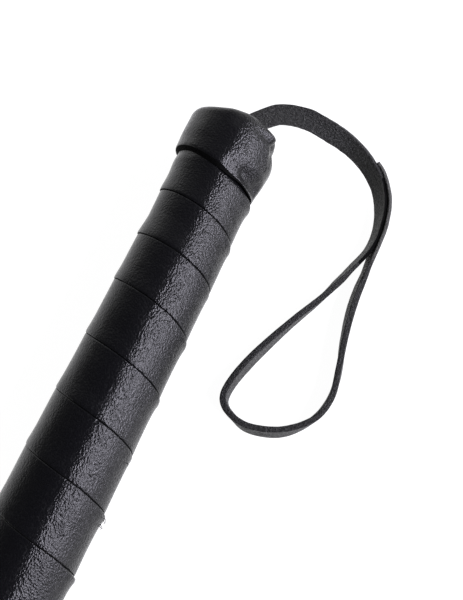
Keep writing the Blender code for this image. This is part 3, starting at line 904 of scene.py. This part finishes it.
def make_wrap(leather, cut):
    """One strip wound from the butt to the keeper's side, each turn lying on the next one."""
    turns = np.arange(WRAP_FIRST, WRAP_LAST, 1 / WRAP_STEPS)[:, None]
    angle = WRAP_ANGLE + 360 * turns
    edge = wrap_edge(turns)
    pitch = edge - wrap_edge(turns - 1)
    start, end = span("grip_wrap")
    # Places across the strip: its free edge, its shown width, and its lap under the next turn
    at_edge = np.linspace(0, 0.06, 5)[:-1]
    shown = np.concatenate([at_edge, np.linspace(0.06, 0.955, 24), [0.97, 0.98, 0.99, 1.0]])
    lapped = np.array([0.12, 0.4, 1.0])
    behind = np.concatenate([pitch * shown[None], pitch + WRAP_LAP * lapped[None]], axis=1)
    top = wrap_surface(turns, behind)
    near_step = pitch - behind
    top = top + wrap_swell(turns - 1, near_step)
    covered = wrap_surface(turns - 1, np.maximum(-near_step, 0)) - WRAP_STRIP - 0.08
    top = top + (covered - top) * (1 - ease(0.0, 0.55, near_step))
    worn = 0.12 * np.exp(-behind / 0.25)
    top = top - worn

    # The strip's underside, back to its slanting cut edge
    bottom_behind = np.linspace(1, 0, 5) * (pitch + WRAP_LAP - 0.3)
    lying = ease(WRAP_LAP, WRAP_LAP + 3, bottom_behind)
    under = wrap_surface(turns, bottom_behind) - WRAP_STRIP
    bottom = under + (WRAP_BOTTOM - under) * lying
    slant = 0.36 + 0.34 * along_noise(turns, 19, 24) + 0.16 * along_noise(turns, 5, 25)
    slant = np.clip(slant, 0.04, 0.8)
    bottom_behind[:, -1:] = -slant

    behind = np.concatenate([behind, bottom_behind], axis=1)
    radii = np.concatenate([top, bottom], axis=1)
    stations = edge - behind
    column_count = behind.shape[1]
    is_top = np.arange(column_count) < top.shape[1]
    where = np.stack(np.broadcast_arrays(behind, 100 * turns, 0.0), axis=-1)
    folds = 0.06 * rough(where, 9, 26) + 0.012 * rough(where * np.array([0.4, 1, 1]), 2.4, 27)
    radii = radii + folds * is_top
    stations = np.clip(stations, start, end)

    # A hollow under the band's lifted edge, and the strip kept inside the band
    hollow = 0.75 * window(angle, 134, 26, 16) * bump(stations - band_edge(angle), 0.2, 1.1)
    radii = radii - hollow * is_top
    below_band = stations < band_edge(angle) + 0.25
    ceiling = band_inside(np.minimum(stations, band_edge(angle)), angle) - WRAP_CLEAR
    radii = np.where(below_band, np.minimum(radii, ceiling), radii)
    pressed = np.minimum(radii, np.maximum(ceiling - 0.3, WRAP_BOTTOM))
    underside = np.where(below_band, pressed, radii)
    radii = np.where(is_top, np.maximum(radii, WRAP_BOTTOM + WRAP_CLEAR), underside)
    grid = round_axis(stations, radii, angle)
    finishes = np.zeros(column_count, int)
    finishes[-1] = 1
    strip = skin("wrap_leather_strip", grid, finishes=finishes, sharp=40)
    dress(strip, leather, cut)
    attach(strip, "handle")
    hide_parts("grip_wrap")


# Stray fibres at the strip's edge: (station, angle, length, lift, sweep) in millimetres and degrees
STRAY_FIBRES = (
    (146.0, 184, 2.6, 1.5, -1.6),
    (146.6, 182, 1.8, 1.1, 1.0),
    (148.4, 185, 2.0, 1.2, -1.2),
    (149.0, 183, 1.4, 1.0, 0.9),
    (127.5, 172, 1.3, 0.6, 0.8),
)


def make_fibres(leather):
    threads = []
    for number, (at, angle, length, lift, sweep) in enumerate(STRAY_FIBRES):
        run = np.linspace(0, 1, 9)
        stations = at + length * run * 0.8
        rest = wrap_rest(at, angle) + 0.2
        radii = rest + lift * np.sin(run * 2.2) + 0.15 * np.sin(run * 9 + number)
        angles = angle + sweep * 4 * run**2
        centre = round_axis(stations, radii, angles)
        width = 0.13 * (1 - 0.75 * run) * MM
        threads.append(thread_piece(f"stray_fibre_{number}", centre, (0.0, 0.0, 1.0), width, 6))
    fibres = joined("wrap_stray_fibres", threads)
    dress(fibres, leather)
    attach(fibres, "handle")


# The collar's mesh columns outside and inside, and its thickness
COLLAR_COLUMNS = 30
COLLAR_INSIDE = 6
COLLAR_THICKNESS = 1.0


def make_collar(leather, cut):
    """A leather collar over the end of the strip, lapped on itself on the side away from +Y."""
    start, end = span("end_collar")
    outer = radius_of("end_collar") - 0.15
    angles = np.linspace(0, 360, 220, endpoint=False)[:, None]
    waver = 0.18 * np.sin(np.radians(angles) * 3) + 0.1 * np.sin(np.radians(angles) * 7 + 1)
    share = np.linspace(0, 1, COLLAR_COLUMNS)[None]
    rounding = 0.5 * (bump(share, 0, 0.025) + bump(share, 1, 0.025))
    lap = 0.45 * window(angles, 215, 12, 3) * window(angles, 200, 17, 6)
    radii_out = outer - rounding + 0.12 * np.sin(math.pi * share) + lap * (1 - ease(0.9, 1, share))
    at_out = start + waver * (1 - share) + (end - start) * share
    where = round_axis(at_out, radii_out, angles) / MM
    radii_out = radii_out + 0.07 * rough(where, 7, 31) + 0.03 * rough(where, 2.2, 32)
    share_in = np.linspace(0, 1, COLLAR_INSIDE)[None]
    at_in = end - (end - start) * share_in + waver * share_in
    radii_in = np.full_like(at_in, outer - COLLAR_THICKNESS)
    stations = np.concatenate([at_out, at_in], axis=1)
    radii = np.concatenate([radii_out, radii_in], axis=1)
    finishes = np.zeros(stations.shape[1], int)
    finishes[COLLAR_COLUMNS - 1] = 1
    finishes[-1] = 1
    collar = skin("collar_leather", round_axis(stations, radii, angles), around=True, finishes=finishes)
    dress(collar, leather, cut)
    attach(collar, "handle")
    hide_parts("end_collar")


def make_ferrule(plastic):
    """A cone with a rounded shoulder at the handle and a bead where it meets the shaft."""
    start, end = span("end_ferrule")
    big = radius_of("end_ferrule")
    bore = 4.8
    small = 6.3
    cone_start = start + 2.5
    cone_end = end - 3.0
    cone_big = big - 0.4
    profile = [(start, big - 0.5), (start + 0.15, big - 0.15), (start + 0.5, big)]
    profile += [(cone_start - 0.5, big), (cone_start - 0.15, big - 0.12)]
    for run in np.linspace(0.0, 1.0, 26):
        radius = cone_big + (small - cone_big) * math.sin(run * math.pi / 2)
        profile.append((cone_start + (cone_end - cone_start) * run, radius))
    for turn in np.linspace(20, 170, 9):
        swing = math.radians(turn)
        profile.append((end - 1.3 - 1.15 * math.cos(swing), small - 0.25 + 0.75 * math.sin(swing)))
    profile += [(end, small - 0.35), (end, bore), (start, bore)]
    stations, radii = np.array(profile).T
    angles = np.linspace(0, 360, 128, endpoint=False)[:, None]
    cone = round_axis(stations[None], radii[None], angles)
    ferrule = skin("ferrule_moulding", cone, around=True, sharp=30)
    dress(ferrule, plastic)
    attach(ferrule, "handle")
    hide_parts("end_ferrule")


# Shaft

# The cover's radius at the keeper, and the station from which it tapers to that
COVER_SMALL = 3.72
COVER_TAPER = 250
# Its strands each way, the length of a full turn, and the relief across and along a strand
BRAID_STRANDS = 12
BRAID_PITCH = 34.0
BRAID_DEPTH = 0.30
BRAID_WEAVE = 0.16
BRAID_AROUND = 144
BRAID_ALONG = 760
# The whippings' strand radius, how closely its turns lie, and sections for each turn
WHIPPING_STRAND = 0.36
WHIPPING_PACKING = 0.97
WHIPPING_STEPS = 44


def cover_radius(stations):
    """The cover's outer radius: even near the handle, then tapering to the keeper."""
    _, end = span("shaft_cover")
    big = radius_of("shaft_cover")
    taper = np.clip((stations - COVER_TAPER) / (end - COVER_TAPER), 0, 1)
    return big + (COVER_SMALL - big) * taper


def braid_height(stations, angles):
    """The relief of two sets of strands, wound both ways, each over one and under the next."""
    cross = BRAID_PITCH / (2 * BRAID_STRANDS)
    heights = []
    for way in (1, -1):
        turn = angles / 360 - way * stations / BRAID_PITCH
        off = np.abs((turn * BRAID_STRANDS + 0.5) % 1 - 0.5) * 2
        weave = way * np.cos(math.pi * stations / cross)
        rounded = np.sqrt(np.clip(1 - (off / 1.02) ** 2, 0, 1))
        heights.append(BRAID_DEPTH * (rounded - 1) + BRAID_WEAVE * weave)
    return np.maximum(heights[0], heights[1])


def make_cover(thread):
    start, end = span("shaft_cover")
    stations = np.linspace(start, end, BRAID_ALONG)[:, None]
    angles = np.linspace(0, 360, BRAID_AROUND, endpoint=False)[None]
    shape = np.sqrt(cover_radius(stations) / cover_radius(np.array(start)))
    radii = cover_radius(stations) + (braid_height(stations, angles) - BRAID_WEAVE * 0.2) * shape
    cover = skin("cover_braid", round_axis(stations, radii, angles), sharp=70)
    dress(cover, thread)
    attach(cover, "handle")
    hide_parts("shaft_cover")


def make_whipping(node_name, piece_name, body, thread):
    """Turns of thread laid side by side over a node's place, with the last one tucked back."""
    start, end = span(node_name)
    strand = WHIPPING_STRAND
    centre_radius = radius_of(node_name) - strand
    length = end - start - 2 * strand
    turns = length / (2 * strand * WHIPPING_PACKING)
    run = np.linspace(0, 1, int(turns * WHIPPING_STEPS))
    stations = start + strand + length * run
    tuck = 0.5 * (bump(run, 0, 0.012) + bump(run, 1, 0.012))
    centre = round_axis(stations, centre_radius - tuck, 360 * turns * run)
    tangent = unit(np.gradient(centre, axis=0))
    axis_points = centre.copy()
    axis_points[:, 1] = 0.0
    axis_points[:, 2] = AXIS_Z
    normal = unit(centre - axis_points)
    normal = unit(normal - tangent * (normal * tangent).sum(axis=1, keepdims=True))
    whipping = skin(piece_name, thread_points(centre, tangent, normal, strand * MM, 9), sharp=80)
    dress(whipping, thread)
    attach(whipping, body)
    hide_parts(node_name)


# Keeper

keeper_low, keeper_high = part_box("keeper_front")
KEEPER_START, KEEPER_END = span("keeper_front")
KEEPER_HALF = (keeper_high.z - keeper_low.z) / 2 / MM
LEAF_INSIDE, LEAF_OUTSIDE = sorted(abs(face) / MM for face in (keeper_low.y, keeper_high.y))
# The outline: the rounded tip corners, the shoulder's length, and half the neck's width
KEEPER_CORNER = 9.0
TIP_START = KEEPER_END - KEEPER_CORNER
KEEPER_SHOULDER = 20.0
KEEPER_NECK_HALF = 5.0
# The neck's half tube: its radii, and where it starts, stops being round and is flat
NECK_OUTER = 3.95
NECK_INNER = 2.95
NECK_TUCKED = 551.0
NECK_ROUND_TO = 557.5
NECK_FLAT_FROM = 571.0
# Points across a leaf's face, and the radius of its rounded edge
LEAF_COLUMNS = 72
LEAF_EDGE = 0.42
STITCH_START = 569.0
STITCH_INSET = 2.4
STITCH_STEP = 3.1
STITCH_LENGTH = 2.2
STITCH_RADIUS = 0.27
STITCH_BOW = 0.30
STITCH_SUNK = 0.32
STITCH_POINTS = 7


def keeper_half_width(stations):
    run = np.clip((stations - KEEPER_START) / KEEPER_SHOULDER, 0, 1)
    shoulder = 0.5 - 0.5 * np.cos(math.pi * run)
    width = KEEPER_NECK_HALF + (KEEPER_HALF - KEEPER_NECK_HALF) * shoulder
    past = np.clip(stations - TIP_START, 0, KEEPER_CORNER)
    return width - KEEPER_CORNER + np.sqrt(KEEPER_CORNER**2 - past**2)


def keeper_inset(stations, height):
    """The distance of a point of a leaf from its outline."""
    to_side = keeper_half_width(np.minimum(stations, TIP_START)) - np.abs(height)
    inset = np.minimum(to_side, KEEPER_END - stations)
    past = stations - TIP_START
    beyond = np.abs(height) - (KEEPER_HALF - KEEPER_CORNER)
    corner = KEEPER_CORNER - np.hypot(np.maximum(past, 0), np.maximum(beyond, 0))
    return np.where((past > 0) & (beyond > 0), corner, inset)


def rounded_off(distance):
    """How far a leaf's rounded edge falls away at a distance from its outline."""
    inward = np.clip(LEAF_EDGE - distance, 0, LEAF_EDGE)
    return LEAF_EDGE - np.sqrt(np.clip(LEAF_EDGE**2 - inward**2, 0, None))


def leaf_skin(name, side):
    """One leaf, from a half tube round the shaft's tip to the flat tongue."""
    shoulder_end = NECK_FLAT_FROM + 12
    stations = np.concatenate(
        [
            np.linspace(NECK_TUCKED, shoulder_end, 60)[:-1],
            np.linspace(shoulder_end, TIP_START, 50)[:-1],
            TIP_START + KEEPER_CORNER * np.sin(np.linspace(0, math.pi / 2, 26)),
        ]
    )[:, None]
    flat = ease(NECK_ROUND_TO, NECK_FLAT_FROM, stations)
    half = keeper_half_width(stations)
    even = np.linspace(-0.5, 0.5, LEAF_COLUMNS)[None]
    share = np.sin(math.pi * even) * 0.5 + even
    turn = np.radians(86) * share
    rounding = np.maximum(rounded_off(half * (1 - np.abs(share))), rounded_off(KEEPER_END - stations))
    height = half * share
    inset = keeper_inset(stations, height)
    seat = 0.16 * bump(inset, STITCH_INSET, 0.45) * ease(568, 571, stations)
    pad = 0.10 * ease(STITCH_INSET, STITCH_INSET + 4, inset)
    faces = (
        (NECK_OUTER, LEAF_OUTSIDE - rounding - seat + pad),
        (NECK_INNER, LEAF_INSIDE + 0.4 * rounding),
    )
    (out_y, out_z), (in_y, in_z) = (
        (
            radius * np.cos(turn) + (flat_y - radius * np.cos(turn)) * flat,
            radius * np.sin(turn) + (height - radius * np.sin(turn)) * flat,
        )
        for radius, flat_y in faces
    )
    y = np.concatenate([out_y, in_y[:, ::-1]], axis=1)
    z = np.concatenate([out_z, in_z[:, ::-1]], axis=1)
    x = np.broadcast_to(stations, y.shape)
    where = np.stack([x, np.zeros_like(y), z], axis=-1)
    outer = np.arange(y.shape[1]) < LEAF_COLUMNS
    y = y + outer * flat * (0.07 * rough(where, 10, 41 + side) + 0.03 * rough(where, 3, 44 + side))
    grid = np.stack([BUTT_X - x * MM, side * y * MM, AXIS_Z + z * MM], axis=-1)
    finishes = np.zeros(y.shape[1], int)
    finishes[[LEAF_COLUMNS - 1, -1]] = 1
    return skin(name, grid, finishes=finishes, sharp=55)


def stitch_line():
    """Points (station, height) of the sewn line, down one side, round the tip and back."""
    straight = np.arange(STITCH_START, TIP_START, 0.25)
    side = np.stack([straight, keeper_half_width(straight) - STITCH_INSET], axis=1)
    turn = np.radians(np.linspace(0, 90, 30))
    reach = KEEPER_CORNER - STITCH_INSET
    tip_height = KEEPER_HALF - KEEPER_CORNER + reach * np.cos(turn)
    tip = np.stack([TIP_START + reach * np.sin(turn), tip_height], axis=1)
    line = np.concatenate([side, tip])
    return np.concatenate([line, line[::-1] * np.array([1, -1])])


def make_stitches(thread):
    """Waxed stitches on both faces, each a short bowed thread that dips into the leather."""
    line = stitch_line()
    reach = reach_along(line)
    count = int(reach[-1] / STITCH_STEP)
    bow = np.cos(np.linspace(-1.35, 1.35, STITCH_POINTS))
    y = LEAF_OUTSIDE - STITCH_SUNK + STITCH_BOW * bow
    width = STITCH_RADIUS * (0.55 + 0.45 * bow) * MM
    stitches = []
    for side in (1, -1):
        for number in range(count):
            middle = (number + 0.5) * reach[-1] / count
            along = middle + STITCH_LENGTH * np.linspace(-0.5, 0.5, STITCH_POINTS)
            at = np.interp(along, reach, line[:, 0])
            height = np.interp(along, reach, line[:, 1])
            centre = np.stack([BUTT_X - at * MM, side * y * MM, AXIS_Z + height * MM], axis=1)
            stitches.append(thread_piece("stitch", centre, (0.0, 1.0, 0.0), width, 7, sharp=80))
    sewn = joined("keeper_stitching", stitches)
    dress(sewn, thread)
    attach(sewn, "keeper")


def make_keeper(leather, cut):
    for name, side, nodes in (
        ("keeper_leaf_left", 1, ("keeper_front", "keeper_neck")),
        ("keeper_leaf_right", -1, ("keeper_back",)),
    ):
        leaf = leaf_skin(name, side)
        dress(leaf, leather, cut)
        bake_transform(leaf)
        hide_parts(*nodes)


def finish_inner_parts(disc_leather):
    """Materials for the parts that keep their shape."""
    wood = turned_wood()
    steel = drawn_steel()
    finishes = {
        "handle_core": wood,
        "strap_wedge": wood,
        "handle_padding": pressed_felt(),
        "strap_pin_1": steel,
        "strap_pin_2": steel,
        "shaft_pin": steel,
        "shaft_rod": glass_fibre(),
        "butt_disc": disc_leather,
    }
    for name, material in finishes.items():
        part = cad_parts[name]
        if part.material_slots:
            for place in part.material_slots:
                place.material = material
        else:
            part.data.materials.append(material)


def main():
    scene.view_settings.view_transform = "Standard"
    make_camera()
    strap_leather = fibrous_leather("strap_leather")
    # The dull black on the strap's glued face and the bond's edges is a painted shadow
    painted_shadow = cut_leather("leather_painted_shadow_line")
    make_wrist_strap(strap_leather, painted_shadow)
    make_strap_root(strap_leather)
    make_sky()
    make_softbox("softbox_high", (39, 1.0), (49, 1.02), 0.44, 1.05, 34.0)
    make_softbox("softbox_middle", (57, 1.05), (66, 1.1), 0.44, 1.1, 19.0)
    make_softbox("softbox_low", (73, 1.15), (85, 1.2), 0.38, 1.25, 10.0)
    make_floor()
    leather = grained_leather("wrap_leather", (0.14, 0.20), 0.00019)
    cut = cut_leather("leather_cut_edge")
    make_band(leather, cut)
    make_wrap(leather, cut)
    make_fibres(cut)
    make_collar(leather, cut)
    make_ferrule(black_moulding())
    make_cover(waxed_thread("braided_thread", 2600))
    twisted = waxed_thread("whipping_thread", 5200)
    make_whipping("cover_whipping", "cover_whipping_thread", "handle", twisted)
    make_whipping("tip_whipping", "tip_whipping_thread", "handle", twisted)
    keeper_leather = grained_leather("keeper_leather", (0.28, 0.36), 0.00012)
    make_keeper(keeper_leather, cut)
    make_stitches(twisted)
    finish_inner_parts(fibrous_leather("disc_leather", uv=False))


main()
